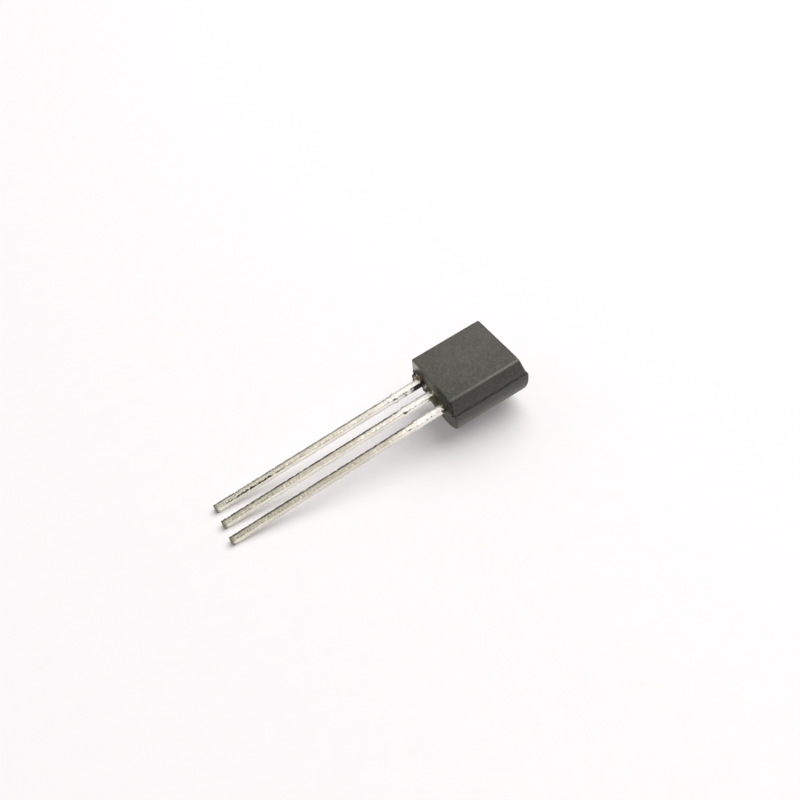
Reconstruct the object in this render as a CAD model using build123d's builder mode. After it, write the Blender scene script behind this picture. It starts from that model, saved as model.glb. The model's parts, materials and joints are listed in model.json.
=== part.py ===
"""Small-signal transistor in a D-shaped moulded case with three in-line leads.

The case lies on its round back with its flat face up. It rests on the lead-side
edge of the back and on the three lead tips, so the whole package is tilted.
Everything is drawn in the package's own coordinates: x runs along the leads from
the lead-side wall towards the closed end, y across them, and z out of the flat
face, with z = 0 at the middle of the lead strip.
"""

import os
from math import acos, asin, atan2, cos, degrees, hypot, radians, sin, tan

from build123d import *

# Case, measured at the mould's parting plane unless said otherwise
case_length = 4.955
case_width = 4.54
front_depth = 1.12
lead_wall_draft = 5.0
end_wall_draft = 11.0
side_wall_draft = 9.0
corner_radius = 0.12
edge_radius = 0.11

# The round half sits a little further from the leads and is a little wider. At the closed end it
# widens below the parting line in a sloping shoulder
back_setback = 0.075
shoulder_reach = 0.115
shoulder_drop = 0.20
parting_step = 0.025
back_land = 0.265
back_draft = 4.0
back_edge_radius = 0.10
parting_height = 0.06
fin_reach = 0.03
fin_thickness = 0.03

# Round mark that an ejector pin leaves in the back
ejector_diameter = 1.5
ejector_depth = 0.15

# Resin that crept out round the leads: a lip, and a thin ragged web of flash
lip_reach = 0.14
lip_thickness = 0.50
lip_margin = 0.22
lip_root = 0.40
flash_reach = 0.42
flash_thickness = 0.10
# Front edge of the flash: place across the case in lead pitches, share of its reach
flash_front = [
    (-1.36, 0.45), (-1.20, 0.80), (-0.84, 0.95), (-0.55, 0.70), (-0.28, 0.90), (0.18, 0.50),
    (0.46, 0.85), (0.78, 0.60), (1.18, 0.75), (1.28, 1.15), (1.42, 0.95), (1.50, 0.40),
]

# Leads
lead_pitch = 1.27
lead_length = 13.6
lead_width = 0.42
lead_thickness = 0.38
lead_droop = 1.5
lead_edge_radius = 0.05
shank_width = 0.47
shank_length = 1.75
nub_length = 0.22
nub_height = 0.03

# Stamped ends of the leads inside the case
post_start = 1.30
post_length = 0.80
post_width = 0.95
paddle_gap = 0.35
paddle_length = 1.50
paddle_width = 1.90

# Chip and bond wires
die_size = 0.56
die_thickness = 0.20
bond_pad_spacing = 0.28
wire_diameter = 0.05
ball_diameter = 0.13
ball_height = 0.05
loop_rise = 0.10
loop_radius = 0.16

# Derived sizes
back_radius = case_width / 2 + parting_step
back_bottom = parting_height - back_land - back_radius
back_height = parting_height - back_bottom
back_end = case_length + shoulder_reach
heel_inset = back_height * tan(radians(back_draft))
toe_inset = (back_height - shoulder_drop) * tan(radians(back_draft))
lead_top = lead_thickness / 2
tip_drop = lead_length * tan(radians(lead_droop))
paddle_start = post_start + post_length + paddle_gap
die_x = paddle_start + paddle_length / 2
post_x = post_start + post_length / 2
die_top = lead_top + die_thickness

# The package leans until the rounded edge of the back and the lead tips share the ground
heel_corner_x = back_setback + heel_inset
toe_corner_x = back_end - toe_inset
rounding_setback = back_edge_radius * (1 / cos(radians(back_draft)) - tan(radians(back_draft)))
heel_x = heel_corner_x + rounding_setback
toe_x = toe_corner_x - rounding_setback
heel_z = back_bottom + back_edge_radius
tip_rise = -lead_top - tip_drop - heel_z
tip_run = lead_length + heel_x
tilt = atan2(tip_rise, tip_run) + asin(back_edge_radius / hypot(tip_rise, tip_run))


def row_x(x, z):
    """Distance along the ground of a point of the tilted package."""
    return x * cos(tilt) - z * sin(tilt)


def row_z(x, z):
    """Height of a point of the tilted package."""
    return x * sin(tilt) + z * cos(tilt)


reach_min = row_x(-lead_length, lead_top - tip_drop)
reach_max = row_x(toe_x, heel_z) + back_edge_radius
package = Plane(
    origin=(-(reach_min + reach_max) / 2, 0, back_edge_radius - row_z(heel_x, heel_z)),
    x_dir=(cos(tilt), 0, sin(tilt)),
    z_dir=(-sin(tilt), 0, cos(tilt)),
)


def level(z):
    """Plane parallel to the flat face: sketch axes are package x and y."""
    return package.offset(z)


def across(x):
    """Plane square to the leads: sketch axes are package y and z."""
    origin = package.from_local_coords((x, 0, 0))
    return Plane(origin=origin, x_dir=package.y_dir, z_dir=package.x_dir)


def side_view():
    """Plane through the middle lead: sketch axes are package x and z."""
    return Plane(origin=package.origin, x_dir=package.x_dir, z_dir=-package.y_dir)


def package_x(shape):
    """Place of a shape's centre along the leads."""
    return package.to_local_coords(shape.center()).X


def package_z(shape):
    """Height of a shape's centre over the middle of the lead strip."""
    return package.to_local_coords(shape.center()).Z


def strip(start, end, y, width):
    """One straight stretch of a lead, seen from above the flat face."""
    with Locations(((start + end) / 2, y)):
        Rectangle(end - start, width)


def stamped_lead(y, pad_start, pad_length, pad_width):
    """Lead at a place across the case: run, tie-bar stubs, shank and inner pad."""
    with BuildPart() as lead:
        with BuildSketch(level(0)):
            strip(-lead_length, -shank_length, y, lead_width)
            strip(-shank_length - nub_length, -shank_length, y, shank_width + 2 * nub_height)
            strip(-shank_length, pad_start, y, shank_width)
            strip(pad_start, pad_start + pad_length, y, pad_width)
        extrude(amount=lead_thickness + tip_drop, both=True)

        # Keep the strip's own thickness along its droop
        with BuildSketch(side_view()):
            with BuildLine():
                Polyline(
                    (case_length, lead_top),
                    (0, lead_top),
                    (-lead_length, lead_top - tip_drop),
                    (-lead_length, -lead_top - tip_drop),
                    (0, -lead_top),
                    (case_length, -lead_top),
                    close=True,
                )
            make_face()
        extrude(amount=case_width, both=True, mode=Mode.INTERSECT)

        # Soften the long edges outside the case
        run_edges = lead.edges().filter_by(lambda e: e.length > lead_length / 2)
        shank_edges = lead.edges().filter_by(
            lambda e: -shank_length < package_x(e) < 0 and e.length > shank_length / 2
        )
        fillet(run_edges + shank_edges, lead_edge_radius)
    return lead


def bond_wire(side):
    """Gold wire: a ball on the chip, a low loop, and a stitch on the post."""
    pad = Vector(die_x, side * bond_pad_spacing / 2, die_top)
    post = Vector(post_x, side * lead_pitch, lead_top)
    run = Vector(post.X - pad.X, post.Y - pad.Y, 0)
    heading = package.from_local_coords(pad + run) - package.from_local_coords(pad)
    foot = package.from_local_coords(pad)
    loop_plane = Plane(origin=foot, x_dir=heading, z_dir=heading.cross(package.z_dir))

    # The straight stretch leaves the loop along the tangent that meets the post
    span = run.length
    crown_z = ball_height + loop_rise
    drop = crown_z + die_thickness
    to_post = atan2(-drop, span - loop_radius)
    leave = to_post + acos(loop_radius / hypot(span - loop_radius, drop))
    leave_x = loop_radius + loop_radius * cos(leave)
    leave_z = crown_z + loop_radius * sin(leave)
    overrun = 1 + wire_diameter / span
    end_x = leave_x + (span - leave_x) * overrun
    end_z = leave_z + (-die_thickness - leave_z) * overrun

    with BuildPart() as wire:
        with BuildSketch(level(die_top)):
            with Locations((pad.X, pad.Y)):
                Circle(ball_diameter / 2)
        extrude(amount=ball_height)
        with BuildLine(loop_plane) as loop:
            riser = Line((0, 0), (0, crown_z))
            crown = JernArc(riser @ 1, riser % 1, loop_radius, degrees(leave) - 180)
            Line(crown @ 1, (end_x, end_z))
        with BuildSketch(level(die_top)):
            with Locations((pad.X, pad.Y)):
                Circle(wire_diameter / 2)
        sweep(path=loop.line)
        split(bisect_by=level(lead_top), keep=Keep.TOP)
    return wire


os.makedirs("parts", exist_ok=True)

# Leads
emitter_lead = stamped_lead(+lead_pitch, post_start, post_length, post_width)
emitter_lead.part.label = "emitter_lead"
export_step(emitter_lead.part, "parts/emitter_lead.step")

collector_lead = stamped_lead(0, paddle_start, paddle_length, paddle_width)
collector_lead.part.label = "collector_lead"
export_step(collector_lead.part, "parts/collector_lead.step")

base_lead = stamped_lead(-lead_pitch, post_start, post_length, post_width)
base_lead.part.label = "base_lead"
export_step(base_lead.part, "parts/base_lead.step")

# Chip on the paddle
with BuildPart() as die:
    with BuildSketch(level(lead_top)):
        with Locations((die_x, 0)):
            Rectangle(die_size, die_size)
    extrude(amount=die_thickness)
die.part.label = "die"
export_step(die.part, "parts/die.step")

# Bond wires
emitter_wire = bond_wire(+1)
emitter_wire.part.label = "emitter_wire"
export_step(emitter_wire.part, "parts/emitter_wire.step")

base_wire = bond_wire(-1)
base_wire.part.label = "base_wire"
export_step(base_wire.part, "parts/base_wire.step")

# Flat half of the case: four walls that each lean in from the parting plane to the flat face
with BuildPart() as flat_half:
    parting_plane = level(parting_height)
    with BuildSketch(parting_plane):
        with Locations((case_length / 2, 0)):
            Rectangle(case_length, case_width)
    extrude(amount=front_depth)
    draft(flat_half.faces().sort_by(package_x)[0], parting_plane, lead_wall_draft)
    draft(flat_half.faces().sort_by(package_x)[-1], parting_plane, end_wall_draft)
    draft(flat_half.faces().sort_by(Axis.Y)[0], parting_plane, side_wall_draft)
    draft(flat_half.faces().sort_by(Axis.Y)[-1], parting_plane, side_wall_draft)
    wall_corners = flat_half.edges().filter_by(
        lambda e: abs(package_z(e) - parting_height - front_depth / 2) < front_depth / 4
    )
    fillet(wall_corners, corner_radius)
    flat_face = flat_half.faces().sort_by(package_z)[-1]
    fillet(flat_face.edges(), edge_radius)

# Case, moulded round everything above
with BuildPart() as moulded_case:
    # Round half: a half circle below a short straight land, with drafted ends and the shoulder
    with BuildSketch(across(back_setback)):
        with BuildLine():
            land = Polyline(
                (-back_radius, parting_height - back_land),
                (-back_radius, parting_height),
                (back_radius, parting_height),
                (back_radius, parting_height - back_land),
            )
            ThreePointArc(land @ 1, (0, back_bottom), land @ 0)
        make_face()
    extrude(amount=back_end - back_setback)
    with BuildSketch(side_view()):
        with BuildLine():
            Polyline(
                (back_setback, parting_height),
                (case_length, parting_height),
                (back_end, parting_height - shoulder_drop),
                (toe_corner_x, back_bottom),
                (heel_corner_x, back_bottom),
                close=True,
            )
        make_face()
    extrude(amount=case_width, both=True, mode=Mode.INTERSECT)
    end_faces = moulded_case.faces().filter_by(GeomType.PLANE).sort_by(package_z)[:2]
    end_arcs = end_faces.edges().filter_by(GeomType.LINE, reverse=True)
    fillet(end_arcs, back_edge_radius)

    add(flat_half.part)

    # Fin of flash that runs round the case where the mould's halves met
    with BuildSketch(level(parting_height - fin_thickness / 2)):
        with Locations((case_length / 2, 0)):
            RectangleRounded(case_length + 2 * fin_reach, 2 * (back_radius + fin_reach), corner_radius)
    extrude(amount=fin_thickness)

    # Flat-bottomed mark of the ejector pin, under the middle of the round back
    with BuildSketch(level(back_bottom)):
        with Locations(((back_setback + back_end) / 2, 0)):
            Circle(ejector_diameter / 2)
    extrude(amount=ejector_depth, mode=Mode.SUBTRACT)

    # Lip and flash where the leads come out
    with BuildSketch(level(-lip_thickness / 2)):
        strip(-lip_reach, lip_root, 0, 2 * lead_pitch + shank_width + 2 * lip_margin)
    extrude(amount=lip_thickness)
    with BuildSketch(level(parting_height - flash_thickness / 2)):
        with BuildLine():
            front = [(-flash_reach * share, lead_pitch * place) for place, share in flash_front]
            Polyline((lip_root, front[0][1]), *front, (lip_root, front[-1][1]), close=True)
        make_face()
    extrude(amount=flash_thickness)

    # Room for everything that the resin flowed round
    for core in (emitter_lead, collector_lead, base_lead, die, emitter_wire, base_wire):
        add(core.part, mode=Mode.SUBTRACT)
moulded_case.part.label = "moulded_case"
export_step(moulded_case.part, "parts/moulded_case.step")
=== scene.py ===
# %% [markdown]
# # A small transistor, dressed in Blender
# The object is a transistor: a chip inside a D-shaped block of moulded resin, with three flat
# metal leads. It lies on its round back with its flat face up, and leans on the heel of the case
# and on its lead tips. The CAD model fixes every size and place, so it is loaded first and never
# moved. Everything after that is about surfaces: strip metal, moulded resin and soft light.

import json
from math import asin, cos, radians, sin, sqrt, tan

import bmesh
import bpy
from mathutils import Matrix, Vector, noise


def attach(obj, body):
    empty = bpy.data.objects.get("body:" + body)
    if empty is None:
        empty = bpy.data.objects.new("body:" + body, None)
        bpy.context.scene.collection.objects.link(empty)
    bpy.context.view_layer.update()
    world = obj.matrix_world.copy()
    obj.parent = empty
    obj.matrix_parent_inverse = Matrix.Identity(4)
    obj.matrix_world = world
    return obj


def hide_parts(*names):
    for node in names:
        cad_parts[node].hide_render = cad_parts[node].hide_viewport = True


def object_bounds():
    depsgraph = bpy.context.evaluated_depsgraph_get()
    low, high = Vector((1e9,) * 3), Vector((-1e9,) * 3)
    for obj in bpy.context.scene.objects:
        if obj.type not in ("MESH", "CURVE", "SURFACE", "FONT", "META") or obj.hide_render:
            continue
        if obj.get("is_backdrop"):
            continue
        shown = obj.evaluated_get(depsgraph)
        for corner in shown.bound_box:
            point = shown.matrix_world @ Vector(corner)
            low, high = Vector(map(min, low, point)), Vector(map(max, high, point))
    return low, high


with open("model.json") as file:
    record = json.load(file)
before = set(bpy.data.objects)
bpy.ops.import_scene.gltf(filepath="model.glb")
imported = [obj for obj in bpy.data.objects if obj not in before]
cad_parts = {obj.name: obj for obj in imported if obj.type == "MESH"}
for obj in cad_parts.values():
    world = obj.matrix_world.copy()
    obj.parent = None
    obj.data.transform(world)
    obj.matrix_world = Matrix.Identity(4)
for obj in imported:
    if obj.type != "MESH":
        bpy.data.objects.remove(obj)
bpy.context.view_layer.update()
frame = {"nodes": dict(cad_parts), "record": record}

# %% [markdown]
# ## The package's own axes
# The case leans by about eight degrees, and shapes are easier to think of when they stand square.
# So each piece is drawn in the package's own millimetres: x along the leads from the wall that they
# leave, y across them, and z out of the flat face. One matrix then carries a finished mesh into
# place. It comes from the flat face, which the record gives as a mount with a place and a direction.

# %% Package axes
MM = 0.001
flat_middle = 2.4176
flat_z = 1.18

flat_face = next(m for m in frame["record"]["mounts"] if m["name"] == "flat_front")
out = Vector(flat_face["axis"]).normalized()
along = Vector((out.z, 0, -out.x))
across = Vector((0, 1, 0))
tilt = asin(along.z)
origin = Vector(flat_face["pos_m"]) - MM * (flat_middle * along + flat_z * out)
turn = Matrix((along, across, out)).transposed().to_4x4()
package = Matrix.Translation(origin) @ turn @ Matrix.Scale(MM, 4)
print(f"the package leans {tilt * 57.2958:.2f} degrees")

# %% [markdown]
# ## Camera
# The camera stands where the photographer stood: close, in front and to the left, looking down at
# about 45 degrees. A real camera is rarely held level, so the level view is turned a little about
# its own line of sight. The near clipping distance is small, because the whole object is.

# %% Camera
eye = MM * Vector((-9.879, -28.980, 34.525))
aim = MM * Vector((2.556, 1.063, 2.016))
roll = radians(-9.1)

camera_data = bpy.data.cameras.new("camera")
camera_data.lens = 36
camera_data.sensor_width = 36
camera_data.clip_start = 0.001
camera_data.clip_end = 10
camera = bpy.data.objects.new("camera", camera_data)
bpy.context.scene.collection.objects.link(camera)
level_view = (aim - eye).to_track_quat("-Z", "Y").to_matrix().to_4x4()
camera.matrix_world = Matrix.Translation(eye) @ level_view @ Matrix.Rotation(roll, 4, "Z")
bpy.context.scene.camera = camera
bpy.context.scene.view_settings.view_transform = "Standard"
print("camera distance in mm:", round((aim - eye).length / MM, 1))

# %% [markdown]
# ## Short calls for nodes
# Materials and Geometry Nodes are both trees of nodes, and building them in a script repeats the
# same three steps: make a node, set its values, link its inputs. One helper does all three. A value
# that is a socket becomes a link, and any other value is set on the input itself.

# %% Node helpers
def add_node(tree, kind, inputs=None, **settings):
    """New node with its settings, and its inputs set or linked by name or number."""
    made = tree.nodes.new(kind)
    for name, value in settings.items():
        setattr(made, name, value)
    for key, value in (inputs or {}).items():
        if isinstance(value, bpy.types.NodeSocket):
            tree.links.new(value, made.inputs[key])
        else:
            made.inputs[key].default_value = value
    return made


def first_out(tree, kind, inputs=None, **settings):
    """First output of a new node."""
    return add_node(tree, kind, inputs, **settings).outputs[0]


def calc(tree, operation, *values):
    """One arithmetic step between sockets and numbers."""
    return first_out(tree, "ShaderNodeMath", dict(enumerate(values)), operation=operation)


def times(tree, product, *others):
    """Product of sockets and numbers."""
    for other in others:
        product = calc(tree, "MULTIPLY", product, other)
    return product


def ease(tree, value, start, end, low=0.0, high=1.0):
    """Smooth step: low before start, high after end."""
    inputs = {0: value, 1: start, 2: end, 3: low, 4: high}
    return first_out(tree, "ShaderNodeMapRange", inputs, interpolation_type="SMOOTHSTEP")


def cloud(tree, point, scale, detail=2.0, roughness=0.5, seed=0.0):
    """Noise between about 0.3 and 0.7 at a point."""
    inputs = {"Vector": point, "W": seed, "Scale": scale, "Detail": detail, "Roughness": roughness}
    return first_out(tree, "ShaderNodeTexNoise", inputs, noise_dimensions="4D")


def stretch(tree, point, x, y, z):
    """A point with each axis scaled, so that a pattern on it is drawn out."""
    inputs = {0: point, 1: (x, y, z)}
    return first_out(tree, "ShaderNodeVectorMath", inputs, operation="MULTIPLY")


def blend_colour(tree, share, first, second):
    """Colour between two colours."""
    inputs = {0: share, 6: first, 7: second}
    return add_node(tree, "ShaderNodeMix", inputs, data_type="RGBA").outputs[2]


print("node helpers are ready")

# %% [markdown]
# ## Floor and light
# The object lies on a plain white floor under one broad soft light, high up on the right and a little
# behind. The light gives a short, soft shadow to the left. The sides that face the viewer get little of
# that light, and are lit by the floor below instead, so the round back looks lighter than the upright
# wall above it. Rays that show the surroundings see a white room, and a floor that fades to white further
# away. That costs the object no extra light, and the shadow stays.

# %% Floor
def white_for_camera(tree):
    """1 for rays that show the surroundings, 0 for rays that light the object."""
    path = add_node(tree, "ShaderNodeLightPath").outputs
    seen = calc(tree, "MAXIMUM", path["Is Camera Ray"], path["Is Glossy Ray"])
    return calc(tree, "MAXIMUM", seen, path["Is Transmission Ray"])


floor_size = 1.6
floor_mesh = bpy.data.meshes.new("floor")
half = floor_size / 2
floor_corners = [(-half, -half, 0), (half, -half, 0), (half, half, 0), (-half, half, 0)]
floor_mesh.from_pydata(floor_corners, [], [(0, 1, 2, 3)])
floor = bpy.data.objects.new("floor", floor_mesh)
bpy.context.scene.collection.objects.link(floor)
floor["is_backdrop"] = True

sheet = bpy.data.materials.new("pale floor")
sheet.use_nodes = True
tree = sheet.node_tree
tree.nodes.clear()
spot = add_node(tree, "ShaderNodeTexCoord").outputs["Object"]
fibre = cloud(tree, spot, 900, 3)
sheet_colour = blend_colour(tree, fibre, (0.948, 0.914, 0.927, 1), (0.985, 0.952, 0.965, 1))
lit_sheet = add_node(tree, "ShaderNodeBsdfDiffuse", {"Color": sheet_colour})
glow = add_node(tree, "ShaderNodeEmission", {"Color": (1.0, 0.995, 1.0, 1)})
glossy = add_node(tree, "ShaderNodeLightPath").outputs["Is Glossy Ray"]
away = add_node(tree, "ShaderNodeVectorMath", {0: spot}, operation="LENGTH").outputs["Value"]
nearby_white = calc(tree, "MULTIPLY_ADD", glossy, 0.77, 0.15)
whiteness = calc(tree, "MAXIMUM", nearby_white, ease(tree, away, 0.04, 0.20))
share = times(tree, white_for_camera(tree), whiteness)
sheet_mix = add_node(tree, "ShaderNodeMixShader", {0: share, 1: lit_sheet.outputs[0], 2: glow.outputs[0]})
add_node(tree, "ShaderNodeOutputMaterial", {"Surface": sheet_mix.outputs[0]})
floor_mesh.materials.append(sheet)
print("floor:", floor_size, "m across")

# %% Lamp and surroundings
light_way = Vector((0.48, 0.08, 0.87)).normalized()
light_distance = 0.45
light_size = 0.55
lamp_data = bpy.data.lights.new("soft panel", "AREA")
lamp_data.shape = "DISK"
lamp_data.size = light_size
lamp_data.energy = 2.24
lamp_data.color = (1.0, 0.995, 0.985)
lamp = bpy.data.objects.new("soft panel", lamp_data)
bpy.context.scene.collection.objects.link(lamp)
lamp.location = light_way * light_distance
lamp.rotation_mode = "QUATERNION"
lamp.rotation_quaternion = light_way.to_track_quat("Z", "Y")

world = bpy.data.worlds.new("room")
bpy.context.scene.world = world
world.use_nodes = True
tree = world.node_tree
tree.nodes.clear()
sky_point = add_node(tree, "ShaderNodeTexCoord").outputs["Generated"]
sky_way = add_node(tree, "ShaderNodeSeparateXYZ", {0: sky_point})
back_to_front = ease(tree, sky_way.outputs["Y"], -0.6, 0.7, 0.23, 0.40)
left_side = ease(tree, sky_way.outputs["X"], 0.0, -0.9, 0.0, 0.10)
strength = calc(tree, "MAXIMUM", white_for_camera(tree), calc(tree, "ADD", back_to_front, left_side))
room = add_node(tree, "ShaderNodeBackground", {"Color": (1.0, 0.995, 0.99, 1), "Strength": strength})
add_node(tree, "ShaderNodeOutputWorld", {"Surface": room.outputs[0]})
print("lamp:", lamp_data.energy, "W at", light_distance, "m")

# %% [markdown]
# ## Coordinates for the finishes
# Patterns are laid out in the package's millimetres, so that a stain, a scratch or a line can be put
# where the object has it. A Mapping node undoes the lean: it takes the object coordinates, which are
# the frame's metres, and gives back the package's own x, y and z.

# %% Package point for materials
def package_point(tree):
    """Object coordinates as package millimetres: the point and its three parts."""
    place = add_node(tree, "ShaderNodeTexCoord").outputs["Object"]
    inputs = {"Vector": place, "Location": origin, "Rotation": (0, -tilt, 0), "Scale": (MM, MM, MM)}
    point = first_out(tree, "ShaderNodeMapping", inputs, vector_type="TEXTURE")
    return point, *add_node(tree, "ShaderNodeSeparateXYZ", {0: point}).outputs


def new_finish(name):
    """Material with an empty tree, its shader and its output."""
    finish = bpy.data.materials.new(name)
    finish.use_nodes = True
    tree = finish.node_tree
    tree.nodes.clear()
    shader = add_node(tree, "ShaderNodeBsdfPrincipled")
    add_node(tree, "ShaderNodeOutputMaterial", {"Surface": shader.outputs[0]})
    return finish, tree, shader


def set_finish(tree, shader, inputs):
    """Link each value to the shader's input of that name."""
    for name, value in inputs.items():
        tree.links.new(value, shader.inputs[name])


def near(tree, value, centre, reach):
    """1 at a place along one axis, falling to 0 at a distance from it."""
    away = calc(tree, "ABSOLUTE", calc(tree, "SUBTRACT", value, centre))
    return ease(tree, away, 0, reach, 1, 0)


print("package coordinates are ready")

# %% [markdown]
# ## Tin plate
# The leads are stamped from one strip of metal and plated with tin. The plating is dull and yellowish
# towards the tips, and bright by the case, where the strip is wider. A painted dark reflection runs along
# one top edge, and the cut tips show the bare core. The finish reads three values that the mesh carries
# along: how far along the strip a point is, how far across it, and how far up. That keeps every mark on its
# own face, whichever lead it is on.

# %% Tin plate
tin, tree, shader = new_finish("tin plate")
point, _, y, _ = package_point(tree)


def strip_value(name):
    """Value stored on the strip's mesh."""
    return add_node(tree, "ShaderNodeAttribute", attribute_name=name).outputs["Fac"]


strip_along, strip_across, strip_up = (strip_value(n) for n in ("strip_along", "strip_across", "strip_up"))
blotch = cloud(tree, point, 3.5, 4, 0.6, 1)
speck = cloud(tree, point, 12, 3, 0.65, 2)
drawn = cloud(tree, stretch(tree, point, 0.7, 10, 10), 1, 3, 0.65, 3)
ragged = cloud(tree, point, 6, 4, 0.7, 5)
on_top = ease(tree, strip_up, 0.3, 0.8)
off_middle = calc(tree, "ABSOLUTE", strip_across)
on_side = times(tree, ease(tree, off_middle, 0.88, 0.98), ease(tree, strip_up, 0.92, 0.70))
far_lead = ease(tree, y, 0.6, 0.9)
patchy_along = calc(tree, "ADD", strip_along, calc(tree, "MULTIPLY_ADD", blotch, 3.0, -1.5))


def along_strip(tips, run, neck, shank):
    """Colour from the tips to the case, with ragged borders."""
    made = blend_colour(tree, ease(tree, patchy_along, -13.5, -7.5), (*tips, 1), (*run, 1))
    made = blend_colour(tree, ease(tree, patchy_along, -6.0, -3.2), made, (*neck, 1))
    return blend_colour(tree, ease(tree, patchy_along, -2.5, -1.7), made, (*shank, 1))


# Dull and yellowish at the tips and bright by the case, with paler sheared sides
top = along_strip((0.48, 0.46, 0.37), (0.56, 0.515, 0.44), (0.68, 0.635, 0.565), (0.78, 0.75, 0.71))
sheared = along_strip((0.90, 0.86, 0.75), (0.98, 0.92, 0.83), (0.96, 0.90, 0.83), (0.92, 0.88, 0.83))
top = blend_colour(tree, times(tree, far_lead, 0.30), top, (0.88, 0.85, 0.76, 1))
dull_run = times(tree, ease(tree, y, -0.6, -0.9, 0, 0.45), ease(tree, strip_along, -12.3, -10.3))
dull_run = times(tree, dull_run, ease(tree, patchy_along, -2.6, -4.2))
top = blend_colour(tree, dull_run, top, (0.36, 0.330, 0.265, 1))
sheared = blend_colour(tree, dull_run, sheared, (0.66, 0.61, 0.52, 1))
colour = blend_colour(tree, on_side, top, sheared)
streaky = ease(tree, drawn, 0.40, 0.62)
dulling = ease(tree, strip_along, -1.8, -4.0, 0.10, 0.42)
dulling = times(tree, dulling, ease(tree, on_side, 0, 1, 1.0, 0.5))
colour = blend_colour(tree, times(tree, streaky, dulling), colour, (0.28, 0.255, 0.18, 1))
dull_spot = times(tree, ease(tree, speck, 0.50, 0.62), ease(tree, strip_along, -3.0, -12.5, 0.26, 0.75))
dull_spot = times(tree, dull_spot, ease(tree, on_side, 0, 1, 1.0, 0.35))
colour = blend_colour(tree, dull_spot, colour, (0.13, 0.12, 0.075, 1))
# Painted shade along the lower part of the sides
painted_shade_low_side = times(tree, on_side, near(tree, strip_up, -0.55, 0.4))
colour = blend_colour(tree, times(tree, painted_shade_low_side, 0.35), colour, (0.34, 0.31, 0.23, 1))
# Painted shade under the far lead's shank, by the case
by_case = ease(tree, patchy_along, -2.6, -1.9, 0.0, 0.80)
painted_shade_under_shank = times(tree, ease(tree, strip_up, -0.30, -0.80), by_case, far_lead)
colour = blend_colour(tree, painted_shade_under_shank, colour, (0.07, 0.065, 0.055, 1))
print("tin colours:", len(tree.nodes), "nodes")

# %% Marks on the tin
# Painted dark reflection along the far top edge, weakest on the lead at the back
far_edge = times(tree, ease(tree, strip_across, 0.12, 0.50), on_top)
broken = ease(tree, cloud(tree, stretch(tree, point, 1, 0.2, 0.2), 1.6, 3, 0.6, 4), 0.30, 0.46, 0.50, 1.0)
painted_edge_reflection = times(tree, far_edge, broken, ease(tree, y, 0.6, 1.0, 0.95, 0.68))
painted_edge_reflection = times(tree, painted_edge_reflection, ease(tree, patchy_along, -1.9, -2.6, 0.40, 1.0))
colour = blend_colour(tree, painted_edge_reflection, colour, (0.05, 0.044, 0.034, 1))

# A ragged scrape along the near top edge of the far lead, through the plating
scrape_line = calc(tree, "MULTIPLY_ADD", blotch, 0.9, -1.52)
scrape = near(tree, calc(tree, "SUBTRACT", strip_across, scrape_line), 0.0, 0.70)
scrape = times(tree, scrape, on_top, near(tree, strip_along, -11.0, 3.2))
scrape = ease(tree, times(tree, scrape, ease(tree, ragged, 0.34, 0.58)), 0.14, 0.46)
scrape = times(tree, scrape, far_lead)
colour = blend_colour(tree, scrape, colour, (0.03, 0.028, 0.016, 1))

# Torn edges of the shank, and the dark stubs of the tie bar
torn = near(tree, off_middle, 0.88, 0.30)
torn = times(tree, torn, on_top, ease(tree, ragged, 0.50, 0.60))
torn = times(tree, torn, ease(tree, strip_along, -2.8, -2.2, 0.0, 0.85))
stub = times(tree, near(tree, strip_along, -1.90, 0.24), ease(tree, off_middle, 0.55, 0.8))
stub = times(tree, stub, ease(tree, cloud(tree, point, 5, 2, 0.5, 6), 0.40, 0.52))
stub = times(tree, stub, ease(tree, strip_up, 0.1, 0.7))
torn = calc(tree, "MAXIMUM", torn, stub)
colour = blend_colour(tree, torn, colour, (0.032, 0.027, 0.02, 1))

# Darker on the near side of the far lead, by the case
by_wall = ease(tree, patchy_along, -1.05, -0.65)
near_side_dark = times(tree, ease(tree, strip_across, -0.70, -0.88), by_wall, far_lead)
colour = blend_colour(tree, near_side_dark, colour, (0.022, 0.02, 0.018, 1))

# Cut tips
rough_along = calc(tree, "ADD", strip_along, calc(tree, "MULTIPLY_ADD", speck, 0.6, -0.3))
cut = ease(tree, rough_along, -13.35, -13.58)
colour = blend_colour(tree, times(tree, cut, 0.9), colour, (0.13, 0.125, 0.08, 1))
print("tin with its marks:", len(tree.nodes), "nodes")

# %% Surface of the tin
wear_and_painted_edge = calc(tree, "MAXIMUM", calc(tree, "MAXIMUM", scrape, near_side_dark), calc(tree, "MAXIMUM", painted_edge_reflection, cut))
wear_and_painted_edge = calc(tree, "MAXIMUM", wear_and_painted_edge, torn)
metal = calc(tree, "MULTIPLY_ADD", wear_and_painted_edge, -0.8, ease(tree, on_side, 0, 1, 0.85, 1.0))
rough = calc(tree, "MULTIPLY_ADD", streaky, 0.14, ease(tree, patchy_along, -5.0, -1.6, 0.48, 0.36))
rough = calc(tree, "ADD", rough, times(tree, wear_and_painted_edge, 0.25))
rough = calc(tree, "SUBTRACT", rough, times(tree, on_side, 0.15))
relief = calc(tree, "ADD", times(tree, drawn, 0.6), times(tree, speck, 0.4))
bump = add_node(tree, "ShaderNodeBump", {"Height": relief, "Distance": 0.012 * MM, "Strength": 0.8})
tin_inputs = {"Base Color": colour, "Metallic": metal, "Roughness": rough, "Normal": bump.outputs[0]}
set_finish(tree, shader, tin_inputs)
print("tin plate:", len(tree.nodes), "nodes")

# %% [markdown]
# ## The leads
# Each lead is one stamped strip: a long run, two torn stubs where the tie bar held it, a wider shank,
# and a pad inside the case where the chip or a bond wire sits. Box modelling would need the same
# steps three times. A Geometry Nodes tree states the rule once: a section with rounded edges follows
# the strip, and its sides move out where the strip is wider. A little seeded noise keeps the sheared
# edges from being perfect, and only ever takes metal away.

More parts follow.
